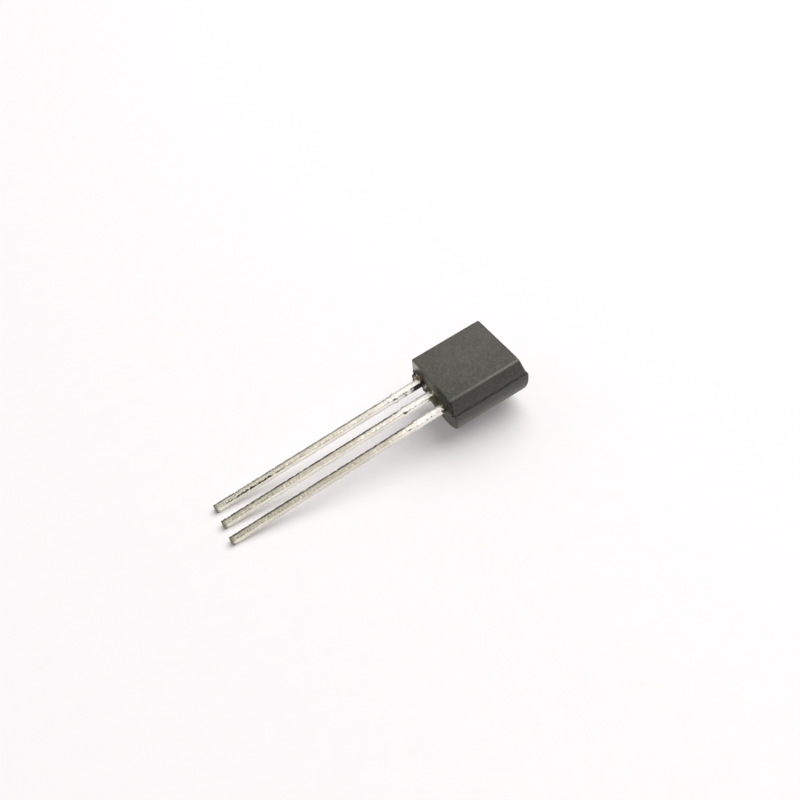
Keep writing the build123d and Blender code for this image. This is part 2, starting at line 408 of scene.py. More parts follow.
# %% Tree for a stamped lead
def new_rule(name, numbers):
    """Geometry Nodes tree with named number inputs, a material input and a geometry output."""
    tree = bpy.data.node_groups.new(name, "GeometryNodeTree")
    tree.interface.new_socket("Geometry", in_out="OUTPUT", socket_type="NodeSocketGeometry")
    for label in numbers:
        tree.interface.new_socket(label, in_out="INPUT", socket_type="NodeSocketFloat")
    tree.interface.new_socket("Material", in_out="INPUT", socket_type="NodeSocketMaterial")
    given = add_node(tree, "NodeGroupInput").outputs
    return tree, given


def store(tree, geometry, name, value):
    """Geometry with a number kept on each of its points."""
    inputs = {"Geometry": geometry, "Name": name, "Value": value}
    return first_out(tree, "GeometryNodeStoreNamedAttribute", inputs, data_type="FLOAT", domain="POINT")


def recall(tree, name):
    """Number kept on the points."""
    return first_out(tree, "GeometryNodeInputNamedAttribute", {"Name": name}, data_type="FLOAT")


def end_rule(tree, geometry, material):
    """Plain geometry with its material, as the tree's output."""
    plain = first_out(tree, "GeometryNodeRealizeInstances", {0: geometry})
    dressed = first_out(tree, "GeometryNodeSetMaterial", {"Geometry": plain, "Material": material})
    add_node(tree, "NodeGroupOutput", {0: dressed})


lead_inputs = (
    "Place across", "Length", "Inner end", "Droop", "Run width", "Thickness", "Edge radius",
    "Shank width", "Shank length", "Stub width", "Stub length", "Pad width", "Pad start",
    "Raggedness", "Seed",
)
lead_rule, given = new_rule("stamped lead", lead_inputs)
tree = lead_rule

start = first_out(tree, "ShaderNodeCombineXYZ", {0: times(tree, given["Length"], -1.0)})
end = first_out(tree, "ShaderNodeCombineXYZ", {0: given["Inner end"]})
path = first_out(tree, "GeometryNodeCurvePrimitiveLine", {"Start": start, "End": end})
path = first_out(tree, "GeometryNodeResampleCurve", {"Curve": path, "Count": 420}, mode="COUNT")
position = first_out(tree, "GeometryNodeInputPosition")
place = add_node(tree, "ShaderNodeSeparateXYZ", {0: position}).outputs
path = store(tree, path, "strip_along", place[0])

box = {"Width": given["Run width"], "Height": given["Thickness"]}
section = first_out(tree, "GeometryNodeCurvePrimitiveQuadrilateral", box)
rounding = {"Curve": section, "Radius": given["Edge radius"], "Count": 4}
section = first_out(tree, "GeometryNodeFilletCurve", rounding, mode="POLY")
section = first_out(tree, "GeometryNodeResampleCurve", {"Curve": section, "Count": 44}, mode="COUNT")
half_run = times(tree, given["Run width"], 0.5)
half_thick = times(tree, given["Thickness"], 0.5)
section = store(tree, section, "strip_across", calc(tree, "DIVIDE", place[0], half_run))
section = store(tree, section, "strip_up", calc(tree, "DIVIDE", place[1], half_thick))
strip = first_out(
    tree, "GeometryNodeCurveToMesh", {"Curve": path, "Profile Curve": section, "Fill Caps": True}
)

# Half the width at each place along the strip
run, side, up = (recall(tree, n) for n in ("strip_along", "strip_across", "strip_up"))
shank_start = times(tree, given["Shank length"], -1.0)
stub_start = calc(tree, "SUBTRACT", shank_start, given["Stub length"])


def widen(place, gain):
    """Extra width from a place along the strip onwards."""
    before = calc(tree, "SUBTRACT", place, 0.03)
    after = calc(tree, "ADD", place, 0.03)
    return ease(tree, run, before, after, 0.0, gain)


to_stub = widen(stub_start, calc(tree, "SUBTRACT", given["Stub width"], given["Run width"]))
to_shank = widen(shank_start, calc(tree, "SUBTRACT", given["Shank width"], given["Stub width"]))
to_pad = widen(given["Pad start"], calc(tree, "SUBTRACT", given["Pad width"], given["Shank width"]))
extra = calc(tree, "ADD", calc(tree, "ADD", to_stub, to_shank), to_pad)
outward = times(tree, calc(tree, "SIGN", side), times(tree, extra, 0.5))
strip_y = calc(tree, "ADD", calc(tree, "MULTIPLY_ADD", side, half_run, outward), given["Place across"])
sag = times(tree, calc(tree, "MINIMUM", run, 0.0), calc(tree, "TANGENT", given["Droop"]))
strip_z = calc(tree, "MULTIPLY_ADD", up, half_thick, sag)
spot = first_out(tree, "ShaderNodeCombineXYZ", {0: run, 1: strip_y, 2: strip_z})
strip = first_out(tree, "GeometryNodeSetPosition", {"Geometry": strip, "Position": spot})

# Sheared edges: metal is missing along the corners of the section
corner = times(tree, calc(tree, "ABSOLUTE", side), calc(tree, "ABSOLUTE", up))
nick = ease(tree, cloud(tree, position, 7.0, 3, 0.6, given["Seed"]), 0.45, 0.75)
loss = times(tree, corner, nick, given["Raggedness"])
inward_y = times(tree, calc(tree, "SIGN", side), times(tree, loss, -1.0))
inward_z = times(tree, calc(tree, "SIGN", up), times(tree, loss, -1.0))
shift = first_out(tree, "ShaderNodeCombineXYZ", {1: inward_y, 2: inward_z})
strip = first_out(tree, "GeometryNodeSetPosition", {"Geometry": strip, "Offset": shift})
strip = first_out(tree, "GeometryNodeSetShadeSmooth", {"Geometry": strip, "Shade Smooth": True})
end_rule(tree, strip, given["Material"])
print("stamped lead:", len(tree.nodes), "nodes")

# %% Three leads
def grow(name, rule, material, **sizes):
    """Plain mesh object from a tree, in the package's millimetres until it is placed."""
    grown = bpy.data.objects.new(name, bpy.data.meshes.new(name))
    bpy.context.scene.collection.objects.link(grown)
    modifier = grown.modifiers.new(name, "NODES")
    modifier.node_group = rule
    socket_of = {s.name: s.identifier for s in rule.interface.items_tree if s.in_out == "INPUT"}
    modifier[socket_of["Material"]] = material
    for label, value in sizes.items():
        modifier[socket_of[label.replace("_", " ")]] = float(value)
    shape = bpy.data.meshes.new_from_object(grown.evaluated_get(bpy.context.evaluated_depsgraph_get()))
    grown.modifiers.clear()
    grown.data = shape
    shape.name = name
    return grown


def face_outwards(mesh):
    """Merge doubled points and turn every face outwards."""
    bm = bmesh.new()
    bm.from_mesh(mesh)
    bmesh.ops.remove_doubles(bm, verts=bm.verts, dist=1e-5)
    bmesh.ops.recalc_face_normals(bm, faces=bm.faces)
    bm.to_mesh(mesh)
    bm.free()


strip_sizes = {
    "Length": 13.6, "Droop": radians(1.5), "Run_width": 0.42, "Thickness": 0.38, "Edge_radius": 0.05,
    "Shank_width": 0.47, "Shank_length": 1.75, "Stub_width": 0.53, "Stub_length": 0.22, "Raggedness": 0.05,
}
post = {"Pad_start": 1.30, "Inner_end": 2.10, "Pad_width": 0.95}
paddle = {"Pad_start": 2.45, "Inner_end": 3.95, "Pad_width": 1.90}
pitch = 1.27
for name, place_across, pad, seed in (
    ("emitter", pitch, post, 1), ("collector", 0.0, paddle, 2), ("base", -pitch, post, 3),
):
    strip = grow(name + "_strip", lead_rule, tin, Place_across=place_across, Seed=seed, **strip_sizes, **pad)
    face_outwards(strip.data)
    strip.data.transform(package)
    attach(strip, "root")
    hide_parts(name + "_lead")
    print(strip.name, len(strip.data.polygons), "faces")

# %% [markdown]
# ## Moulding resin
# The case is epoxy filled with ground glass, cast in a mould whose walls were roughened by sparks. That
# leaves a fine even grain with little gloss. The rounded edges carry a painted highlight. Round the leads,
# thin flash and bleed are darker and duller than the rest, with painted shade over that wall and a brown
# spot where the resin is thin over metal.

# %% Moulding resin
resin, tree, shader = new_finish("moulding resin")
point, x, y, z = package_point(tree)
rounded_edge_share = add_node(tree, "ShaderNodeAttribute", attribute_name="rounded_edge").outputs["Fac"]
flash_share = add_node(tree, "ShaderNodeAttribute", attribute_name="flash").outputs["Fac"]
mottle = cloud(tree, point, 1.1, 4, 0.6, 11)
grain = cloud(tree, point, 24, 3, 0.6, 12)
pits = cloud(tree, point, 55, 2, 0.5, 13)
patch = cloud(tree, point, 2.6, 4, 0.6, 17)
behind_wall = calc(tree, "MULTIPLY_ADD", calc(tree, "ABSOLUTE", z), -0.08, x)

# Flat half, with painted shade darker towards the leads and the near edge
mottled = ease(tree, mottle, 0.3, 0.7)
colour = blend_colour(tree, mottled, (0.068, 0.067, 0.061, 1), (0.097, 0.095, 0.087, 1))
painted_shade_corner = calc(tree, "ADD", ease(tree, y, 0.5, -2.0, 0, 0.45), ease(tree, x, 2.5, 0.3, 0, 0.30))
colour = blend_colour(tree, painted_shade_corner, colour, (0.036, 0.036, 0.032, 1))

# Near wall, with painted shade under the flat face and painted light from the floor above the parting line
near_wall = ease(tree, y, -1.95, -2.10)
painted_shade_under_edge = times(tree, near_wall, ease(tree, z, 0.50, 1.0, 0.15, 0.36))
colour = blend_colour(tree, painted_shade_under_edge, colour, (0.016, 0.016, 0.014, 1))
painted_bounce_above_line = times(tree, near_wall, ease(tree, z, 0.55, 0.18, 0, 0.22))
colour = blend_colour(tree, painted_bounce_above_line, colour, (0.16, 0.158, 0.145, 1))

# Round half, greener, and paler low down with painted light from the floor below
round_half = ease(tree, z, 0.02, -0.10)
colour = blend_colour(tree, times(tree, round_half, 0.8), colour, (0.088, 0.093, 0.085, 1))
bounce_mottle = ease(tree, mottle, 0.2, 0.6, 0.7, 1.0)
painted_bounce_low_down = times(tree, ease(tree, z, -0.10, -1.30), bounce_mottle, ease(tree, behind_wall, 0.09, 0.17, 0.35, 1.0))
colour = blend_colour(tree, painted_bounce_low_down, colour, (0.200, 0.200, 0.190, 1))
colour = blend_colour(tree, ease(tree, patch, 0.62, 0.38, 0, 0.22), colour, (0.030, 0.031, 0.027, 1))
fleck = cloud(tree, point, 8, 3, 0.6, 19)
colour = blend_colour(tree, ease(tree, fleck, 0.38, 0.62, 0, 0.40), colour, (0.15, 0.146, 0.138, 1))
colour = blend_colour(tree, ease(tree, grain, 0.62, 0.38, 0, 0.45), colour, (0.022, 0.023, 0.020, 1))
print("resin colours:", len(tree.nodes), "nodes")

# %% Edges and parting line
# Painted highlight along the rounded edges, most of all the near edge of the flat face
painted_edge_highlight = times(tree, rounded_edge_share, ease(tree, cloud(tree, point, 5, 4, 0.65, 14), 0.25, 0.50, 0.45, 1.0))
painted_edge_highlight = times(tree, painted_edge_highlight, ease(tree, y, -1.6, -2.0, 0.25, 1.0))
painted_edge_highlight = times(tree, painted_edge_highlight, ease(tree, x, 0.2, 3.2, 0.60, 1.0))
colour = blend_colour(tree, painted_edge_highlight, colour, (0.195, 0.192, 0.183, 1))
painted_lead_rim_highlight = times(tree, rounded_edge_share, ease(tree, x, 0.36, 0.24), ease(tree, y, -1.1, -0.5, 0, 0.5))
colour = blend_colour(tree, painted_lead_rim_highlight, colour, (0.17, 0.168, 0.158, 1))

# Far edges of the flat face: painted shade darkens the rounding, which is also dull
end_rim = times(tree, ease(tree, x, 4.55, 4.64), ease(tree, y, -1.95, -1.70))
painted_shade_far_rim = times(tree, rounded_edge_share, calc(tree, "MAXIMUM", end_rim, ease(tree, y, 1.90, 1.99)))
colour = blend_colour(tree, times(tree, painted_shade_far_rim, 0.8), colour, (0.018, 0.018, 0.016, 1))

# Dark line: painted shadow under the fin, along the line where the two halves of the mould met
wander = calc(tree, "MULTIPLY_ADD", cloud(tree, point, 2.2, 4, 0.6, 15), 0.16, -0.08)
line_z = calc(tree, "SUBTRACT", z, calc(tree, "ADD", wander, -0.005))
line_reach = ease(tree, cloud(tree, point, 1.3, 3, 0.6, 18), 0.35, 0.65, 0.06, 0.13)
line = ease(tree, calc(tree, "DIVIDE", calc(tree, "ABSOLUTE", line_z), line_reach), 0.0, 1.0, 1.0, 0.0)
line = times(tree, line, ease(tree, cloud(tree, point, 1.7, 4, 0.7, 16), 0.36, 0.54, 0.40, 1.0))
colour = blend_colour(tree, times(tree, line, 0.85), colour, (0.016, 0.017, 0.014, 1))
print("resin with its edges:", len(tree.nodes), "nodes")

# %% Bleed and spots by the leads
# Dark bleed and painted shade over the wall that the leads leave, up to a ragged border below the flat face
lead_wall = ease(tree, x, 0.16, 0.06)
border = calc(tree, "MULTIPLY_ADD", patch, 1.2, 0.55)
bleed_and_shade = times(tree, lead_wall, ease(tree, calc(tree, "SUBTRACT", border, z), -0.10, 0.14))
bleed_and_shade = times(tree, bleed_and_shade, ease(tree, z, -0.75, -0.35))
bleed_and_shade = times(tree, bleed_and_shade, ease(tree, patch, 0.30, 0.55, 0.70, 1.0))
bleed_and_shade = calc(tree, "MAXIMUM", bleed_and_shade, times(tree, flash_share, 0.9))
fleck_share = ease(tree, fleck, 0.36, 0.62)
dark_bleed_and_shade = blend_colour(tree, fleck_share, (0.030, 0.029, 0.025, 1), (0.095, 0.090, 0.078, 1))
pale_middle = times(tree, near(tree, y, 0.1, 0.95), ease(tree, y, 0.85, 0.60, 0, 0.90))
dark_bleed_and_shade = blend_colour(tree, pale_middle, dark_bleed_and_shade, (0.21, 0.207, 0.192, 1))
olive = blend_colour(tree, fleck_share, (0.080, 0.080, 0.054, 1), (0.270, 0.262, 0.190, 1))
ragged_z = calc(tree, "ADD", z, calc(tree, "MULTIPLY_ADD", patch, 1.6, -0.8))
low_middle = times(tree, ease(tree, y, 0.45, 0.15), ease(tree, ragged_z, 0.75, 0.35))
low_middle = times(tree, low_middle, ease(tree, y, -1.75, -1.40))
colour = blend_colour(tree, bleed_and_shade, colour, blend_colour(tree, low_middle, dark_bleed_and_shade, olive))
# Painted shade on the near part of that wall, just below the flat face
painted_shade_near_top = times(tree, lead_wall, ease(tree, z, 0.20, 0.42), ease(tree, y, -0.5, -1.0, 0, 0.58))
colour = blend_colour(tree, painted_shade_near_top, colour, (0.022, 0.023, 0.019, 1))

# Painted light on the pale corner of that wall on the far side, and spots: where the resin is thin over
# metal, where it is rubbed, and one of painted light
slope = calc(tree, "MULTIPLY_ADD", y, 0.78, z)
pale_line = calc(tree, "ADD", slope, calc(tree, "MULTIPLY_ADD", fleck, 0.8, -0.4))
pale = times(tree, ease(tree, pale_line, 1.86, 2.16), lead_wall)
colour = blend_colour(tree, pale, colour, (0.62, 0.62, 0.60, 1))


def blot(centre, reach):
    """1 at a place, falling to 0 at a distance from it, with a ragged border."""
    apart = add_node(tree, "ShaderNodeVectorMath", {0: point, 1: centre}, operation="DISTANCE")
    away = apart.outputs["Value"]
    return times(tree, ease(tree, away, reach, 0.4 * reach), ease(tree, fleck, 0.28, 0.44))


for centre, reach, tint in (
    ((0.06, 1.53, 0.50), 0.30, (0.030, 0.042, 0.040, 1)),
    ((0.00, 1.28, 0.24), 0.26, (0.48, 0.35, 0.24, 1)),
    ((-0.06, 1.64, 0.12), 0.28, (0.75, 0.66, 0.55, 1)),
    # Painted light on the front of the web between the middle and far leads
    ((0.00, 0.63, 0.12), 0.24, (0.80, 0.78, 0.75, 1)),
    ((0.00, -0.20, 0.30), 0.22, (0.74, 0.71, 0.59, 1)),
    ((-0.17, 0.45, 0.05), 0.18, (0.24, 0.23, 0.22, 1)),
    ((-0.02, -1.66, -0.10), 0.30, (0.30, 0.30, 0.275, 1)),
):
    colour = blend_colour(tree, blot(centre, reach), colour, tint)
print("resin with its bleed:", len(tree.nodes), "nodes")

# %% Surface of the resin
# The whole a trace warmer, as filled resin is
warm = {0: 1.0, 6: colour, 7: (0.985, 0.985, 0.885, 1)}
colour = add_node(tree, "ShaderNodeMix", warm, data_type="RGBA", blend_type="MULTIPLY").outputs[2]

rough = calc(tree, "MULTIPLY_ADD", grain, 0.20, 0.50)
rough = calc(tree, "SUBTRACT", rough, times(tree, bleed_and_shade, 0.15))
rough = calc(tree, "SUBTRACT", rough, times(tree, painted_edge_highlight, 0.10))
relief = calc(tree, "ADD", times(tree, grain, 0.7), times(tree, pits, 0.3))
bump = add_node(tree, "ShaderNodeBump", {"Height": relief, "Distance": 0.010 * MM, "Strength": 0.9})
gloss = ease(tree, behind_wall, 0.16, 0.09, 0.35, 0.05)
gloss = times(tree, gloss, ease(tree, line, 0, 1, 1.0, 0.35), ease(tree, painted_shade_far_rim, 0, 1, 1.0, 0.1))
resin_inputs = {"Base Color": colour, "Roughness": rough, "Specular IOR Level": gloss}
set_finish(tree, shader, {**resin_inputs, "Normal": bump.outputs[0]})
print("moulding resin:", len(tree.nodes), "nodes")

# %% [markdown]
# ## The case
# The mould has two halves. The flat half has four leaning walls and rounded corners. The round half is
# half a barrel with leaning ends. A stack of level slices describes both: each slice is a closed loop
# with the same number of points, so neighbouring loops join up with plain four-sided faces. The loops
# sit close together round each edge, so that a rounded edge catches the light as a thin line.

# %% Level slices of the case
case_length = 4.955
half_width = 2.27
parting_z = 0.06
side_draft, lead_draft, end_draft = 9, 5, 11
corner_radius = 0.12
corner_tightening = 0.07
flat_edge = 0.115
back_start = 0.075
back_end = 5.07
shoulder_drop = 0.20
back_draft = tan(radians(4))
back_radius = 2.295
back_axis_z = -0.205
back_edge = 0.12
side_steps, end_steps, corner_steps = 96, 84, 8


def loop(x_lead, x_far, corner):
    """Closed loop in x and y. corner runs from the end face round to the side: (set back, half width)."""
    set_back, side_y = corner[-1]
    end_back, end_y = corner[0]
    shares = [k / side_steps for k in range(side_steps + 1)]
    side_x = [x_lead + set_back + (x_far - x_lead - 2 * set_back) * s for s in shares]
    end_places = [end_y * (2 * k / end_steps - 1) for k in range(1, end_steps)]
    far_corner = [(x_far - back, y) for back, y in corner[:-1]]
    lead_corner = [(x_lead + back, y) for back, y in corner[:-1]]
    points = [(px, -side_y) for px in side_x]
    points += [(px, -py) for px, py in reversed(far_corner)]
    points += [(x_far - end_back, py) for py in end_places] + far_corner
    points += [(px, side_y) for px in reversed(side_x)]
    points += list(reversed(lead_corner)) + [(x_lead + end_back, -py) for py in end_places]
    points += [(px, -py) for px, py in lead_corner]
    return points


def wall_inset(z, draft):
    """How far a wall of the flat half stands in at a height, on the wall or on its rounded edge."""
    lean = radians(draft)
    below_top = flat_z - z
    if below_top >= flat_edge * (1 - sin(lean)):
        return (z - parting_z) * tan(lean)
    turn_in = sqrt(max(flat_edge**2 - (flat_edge - below_top) ** 2, 0))
    return (flat_z - parting_z) * tan(lean) + flat_edge * tan(radians(90 - draft) / 2) - turn_in


def flat_loop(z, radius, further=0.0):
    """Slice of the flat half, and rings further in on the flat face itself."""
    turns = [radians(90) * k / corner_steps for k in range(corner_steps + 1)]
    side_y = half_width - wall_inset(z, side_draft) - further
    corner = [(radius * (1 - cos(a)), side_y - radius * (1 - sin(a))) for a in turns]
    x_lead = wall_inset(z, lead_draft) + further
    x_far = case_length - wall_inset(z, end_draft) - further
    return loop(x_lead, x_far, corner)


def back_loop(z):
    """Slice of the round half, through the rounding of its ends."""
    drop = max(back_axis_z - z, 0)
    core = back_radius - back_edge
    first = asin((drop - core) / back_edge) if drop > core else 0
    turns = [first + (radians(90) - first) * k / corner_steps for k in range(corner_steps + 1)]
    corner = []
    for a in turns:
        reach = core + back_edge * sin(a)
        corner.append((back_edge * (1 - cos(a)), sqrt(max(reach**2 - drop**2, 0))))
    shoulder = min((parting_z - z) / shoulder_drop, 1)
    far_lean = max(parting_z - shoulder_drop - z, 0) * back_draft
    x_far = case_length + (back_end - case_length) * shoulder - far_lean
    return loop(back_start + (parting_z - z) * back_draft, x_far, corner)


# (height, loop, share on a rounded edge) from the middle of the flat face down to the lowest line of the
# back
rings_in = (1.8, 1.4, 1.0, 0.7, 0.45, 0.25, 0.1)
slices = [(flat_z, flat_loop(flat_z, 0.04, further), 0) for further in rings_in]
for k in range(9):
    a = radians(90) * k / 8
    z = flat_z - flat_edge * (1 - cos(a))
    rounded_edge = sqrt(sin(2 * a)) if 0 < k < 8 else 0.15
    slices.append((z, flat_loop(z, corner_radius - corner_tightening * (1 - sin(a))), rounded_edge))
round_z = flat_z - flat_edge
for k in range(1, 15):
    z = round_z - (round_z - parting_z) * k / 14
    slices.append((z, flat_loop(z, corner_radius), 0))
for z in (parting_z - 0.002, 0.03, -0.05, -0.12, -0.14, -0.16, back_axis_z):
    slices.append((z, back_loop(z), 0))
for k in range(1, 45):
    z = back_axis_z - back_radius * sin(radians(2 * k))
    slices.append((z, back_loop(z), 0))
print(len(slices), "slices of", len(slices[0][1]), "points")

# %% Shell of the case
def shell_mesh(name, rings):
    """Mesh from rings of equal length, with the first and last ring filled."""
    count = len(rings[0])
    faces = [list(range(count)), [len(rings) * count - 1 - k for k in range(count)]]
    for r in range(len(rings) - 1):
        for k in range(count):
            a, b = r * count + k, r * count + (k + 1) % count
            faces.append([a, a + count, b + count, b])
    mesh = bpy.data.meshes.new(name)
    mesh.from_pydata([p for ring in rings for p in ring], [], faces)
    return mesh


case_mesh = shell_mesh("case", [[(px, py, z) for px, py in ring] for z, ring, _ in slices])
rounded_edge_values = [rounded_edge for _, ring, rounded_edge in slices for _ in ring]
case_mesh.attributes.new("rounded_edge", "FLOAT", "POINT").data.foreach_set("value", rounded_edge_values)
case_mesh.attributes.new("flash", "FLOAT", "POINT")
face_outwards(case_mesh)
case = bpy.data.objects.new("case", case_mesh)
bpy.context.scene.collection.objects.link(case)
print("case:", len(case_mesh.polygons), "faces")

# %% [markdown]
# ## Ejector mark
# A pin pushes the hardened case out of the mould, and leaves a round flat-bottomed mark in the back. It
# is a true cut, so a Boolean takes a short round cutter away from the shell.

# %% Ejector mark
ejector_radius = 0.75
ejector_top = -2.35
back_middle = (back_start + back_end) / 2
pin_rings = []
for z, shrink in ((-2.9, 0), (ejector_top - 0.03, 0), (ejector_top - 0.009, 0.009), (ejector_top, 0.03)):
    turns = [radians(7.5 * k) for k in range(48)]
    reach = ejector_radius - shrink
    pin_rings.append([(back_middle + reach * cos(a), reach * sin(a), z) for a in turns])
pin = bpy.data.objects.new("pin", shell_mesh("pin", pin_rings))
face_outwards(pin.data)
bpy.context.scene.collection.objects.link(pin)
cut_mark = case.modifiers.new("mark", "BOOLEAN")
cut_mark.operation = "DIFFERENCE"
cut_mark.solver = "EXACT"
cut_mark.object = pin
marked = bpy.data.meshes.new_from_object(case.evaluated_get(bpy.context.evaluated_depsgraph_get()))
case.modifiers.clear()
case.data = marked
bpy.data.objects.remove(pin)
print("case with mark:", len(marked.polygons), "faces")

# %% [markdown]
# ## Fin along the parting line
# Where the mould's halves meet, a little resin always gets in between. It leaves a thin broken fin all
# round. The fin follows a path, so it is a job for Geometry Nodes: the parting outline is the path,
# noise sets how far the fin reaches, and a sliver with a sharp edge is swept along it.

# %% Tree for the fin
fin_rule, given = new_rule("parting fin", ("Length", "Width", "Height", "Reach", "Thickness", "Seed"))
tree = fin_rule
path = first_out(
    tree, "GeometryNodeCurvePrimitiveQuadrilateral", {"Width": given["Length"], "Height": given["Width"]}
)
path = first_out(tree, "GeometryNodeFilletCurve", {"Curve": path, "Radius": 0.10, "Count": 6}, mode="POLY")
path = first_out(tree, "GeometryNodeResampleCurve", {"Curve": path, "Count": 700}, mode="COUNT")
position = first_out(tree, "GeometryNodeInputPosition")
place = add_node(tree, "ShaderNodeSeparateXYZ", {0: position}).outputs
path = store(tree, path, "path_x", place[0])
path = store(tree, path, "path_y", place[1])
sliver = first_out(tree, "GeometryNodeCurvePrimitiveCircle", {"Resolution": 6, "Radius": 1.0})
sliver = store(tree, sliver, "sliver_out", place[0])
sliver = store(tree, sliver, "sliver_up", place[1])
fin = first_out(tree, "GeometryNodeCurveToMesh", {"Curve": path, "Profile Curve": sliver})

kept = ("path_x", "path_y", "sliver_out", "sliver_up")
path_x, path_y, sliver_out, sliver_up = (recall(tree, n) for n in kept)
path_spot = first_out(tree, "ShaderNodeCombineXYZ", {0: path_x, 1: path_y})
broad = ease(tree, cloud(tree, path_spot, 0.9, 3, 0.6, given["Seed"]), 0.35, 0.65)
ragged = ease(tree, cloud(tree, path_spot, 6.0, 3, 0.65, given["Seed"]), 0.40, 0.70)
jut = calc(tree, "MULTIPLY_ADD", times(tree, broad, ragged), 0.85, 0.15)
jut = times(tree, jut, given["Reach"])
reach = times(tree, calc(tree, "MAXIMUM", sliver_out, -0.5), jut)
half_length = times(tree, given["Length"], 0.5)
half_across = times(tree, given["Width"], 0.5)
grow_x = calc(tree, "ADD", 1.0, calc(tree, "DIVIDE", reach, half_length))
grow_y = calc(tree, "ADD", 1.0, calc(tree, "DIVIDE", reach, half_across))
fin_x = calc(tree, "ADD", times(tree, path_x, grow_x), case_length / 2)
fin_y = times(tree, path_y, grow_y)
fin_z = calc(tree, "MULTIPLY_ADD", sliver_up, times(tree, given["Thickness"], 0.5), given["Height"])
spot = first_out(tree, "ShaderNodeCombineXYZ", {0: fin_x, 1: fin_y, 2: fin_z})
fin = first_out(tree, "GeometryNodeSetPosition", {"Geometry": fin, "Position": spot})
fin = store(tree, fin, "flash", 0.25)
end_rule(tree, fin, given["Material"])

fin = grow(
    "fin", fin_rule, resin, Length=case_length, Width=2 * back_radius, Height=parting_z,
    Reach=0.029, Thickness=0.03, Seed=5,
)
face_outwards(fin.data)
print("fin:", len(fin.data.polygons), "faces")

# %% [markdown]
# ## Lip and flash at the leads
# The strip and the mould never close quite tight, so resin creeps out along the leads. It leaves a lip
# round all three and a ragged web as thin as paper between them. Both are lofts across the case: a
# small section at each place, whose reach comes from a few measured places with noise between them.

# %% Lip and web
def along_front(places, y):
    """Value between the measured places across the case."""
    for (y0, v0), (y1, v1) in zip(places, places[1:]):
        if y <= y1:
            share = max(0.0, (y - y0) / (y1 - y0))
            return v0 + (v1 - v0) * share * share * (3 - 2 * share)
    return places[-1][1]


def rough_front(y, scale, seed):
    """Signed noise across the case."""
    coarse = noise.noise(Vector((y * scale, seed, 0.5)))
    return coarse + 0.5 * noise.noise(Vector((y * scale * 2.7, seed, 4.5)))


lip_reach = [
    (-1.70, 0.02), (-1.27, 0.04), (-0.60, 0.09), (0.0, 0.06), (0.60, 0.09), (1.27, 0.11), (1.70, 0.07),
]
lip_start, lip_end = lip_reach[0][0], lip_reach[-1][0]
lip_rise = 0.24
lip_steps = 120
lip_rings = []
for k in range(lip_steps + 1):
    y = lip_start + (lip_end - lip_start) * k / lip_steps
    squeeze = min(1.0, 0.35 + 0.65 * sqrt(min(k, lip_steps - k) / 8))
    front = -along_front(lip_reach, y) * (0.9 + 0.5 * rough_front(y, 5.0, 1.0))
    top = lip_rise * squeeze * (0.96 + 0.08 * rough_front(y, 2.0, 7.0))
    low = -lip_rise * squeeze * (0.96 + 0.08 * rough_front(y, 2.0, 9.0))
    r = 0.05
    section = [(0.30, top), (0.10, top), (front + r, top)]
    section += [(front + 0.3 * r, top - 0.3 * r), (front, top - r)]
    section += [(front, 0.4 * top), (front, 0.4 * low), (front, low + r), (front + 0.3 * r, low + 0.3 * r)]
    section += [(front + r, low), (0.10, low), (0.30, low)]
    lip_rings.append([(px, y, pz) for px, pz in section])
lip_mesh = shell_mesh("lip", lip_rings)

web_reach = [
    (-1.73, 0.10), (-1.52, 0.30), (-1.07, 0.38), (-0.70, 0.30), (-0.36, 0.36), (0.23, 0.21),
    (0.58, 0.26), (0.99, 0.22), (1.50, 0.26), (1.63, 0.36), (1.80, 0.36), (1.95, 0.26), (2.06, 0.06),
]
web_start, web_end = web_reach[0][0], web_reach[-1][0]
web_steps = 240
web_rings = []
for k in range(web_steps + 1):
    y = web_start + (web_end - web_start) * k / web_steps
    front = -along_front(web_reach, y) * min(1.05, 0.9 + 0.28 * rough_front(y, 5.0, 3.0))
    curl = 0.02 * rough_front(y, 4.0, 12.0)
    thick = 0.045 * (1 + 0.5 * rough_front(y, 6.0, 15.0))
    middle = parting_z + curl
    section = [(0.25, parting_z + 0.05), (0.0, parting_z + 0.05), (0.6 * front, middle + thick)]
    section += [(0.92 * front, middle + 0.6 * thick), (front, middle), (0.92 * front, middle - 0.5 * thick)]
    section += [(0.5 * front, middle - thick), (0.0, parting_z - 0.05), (0.25, parting_z - 0.05)]
    web_rings.append([(px, y, pz) for px, pz in section])
web_mesh = shell_mesh("web", web_rings)
for mesh in (lip_mesh, web_mesh):
    face_outwards(mesh)
    mesh.attributes.new("flash", "FLOAT", "POINT").data.foreach_set("value", [1.0] * len(mesh.vertices))
print("lip and web:", len(lip_mesh.polygons), "and", len(web_mesh.polygons), "faces")

# %% [markdown]
# ## Crumbs of flash
# Where the flash broke off it left small hard crumbs that still sit on the wall. Dozens of alike things at
# random places are one rule in Geometry Nodes: points in a box, a ball on each with its own turn and
# size, and noise that dents every ball. The seed fixes the places, so each run gives the same crumbs.

# %% Tree for the crumbs
crumb_inputs = ("Half width", "Reach", "Low", "High", "Count", "Smallest", "Largest", "Seed")
crumb_rule, given = new_rule("crumbs", crumb_inputs)
tree = crumb_rule


def chance(kind, low, high, seed_shift):
    """Random number or vector for each point."""
    seed = calc(tree, "ADD", given["Seed"], seed_shift)
    made = add_node(tree, "FunctionNodeRandomValue", data_type=kind)
    lows, highs = ([s for s in made.inputs if s.name == n and s.enabled][0] for n in ("Min", "Max"))
    for value, socket in ((low, lows), (high, highs), (seed, made.inputs["Seed"])):
        if isinstance(value, bpy.types.NodeSocket):
            tree.links.new(value, socket)
        else:
            socket.default_value = value
    return next(s for s in made.outputs if s.enabled)


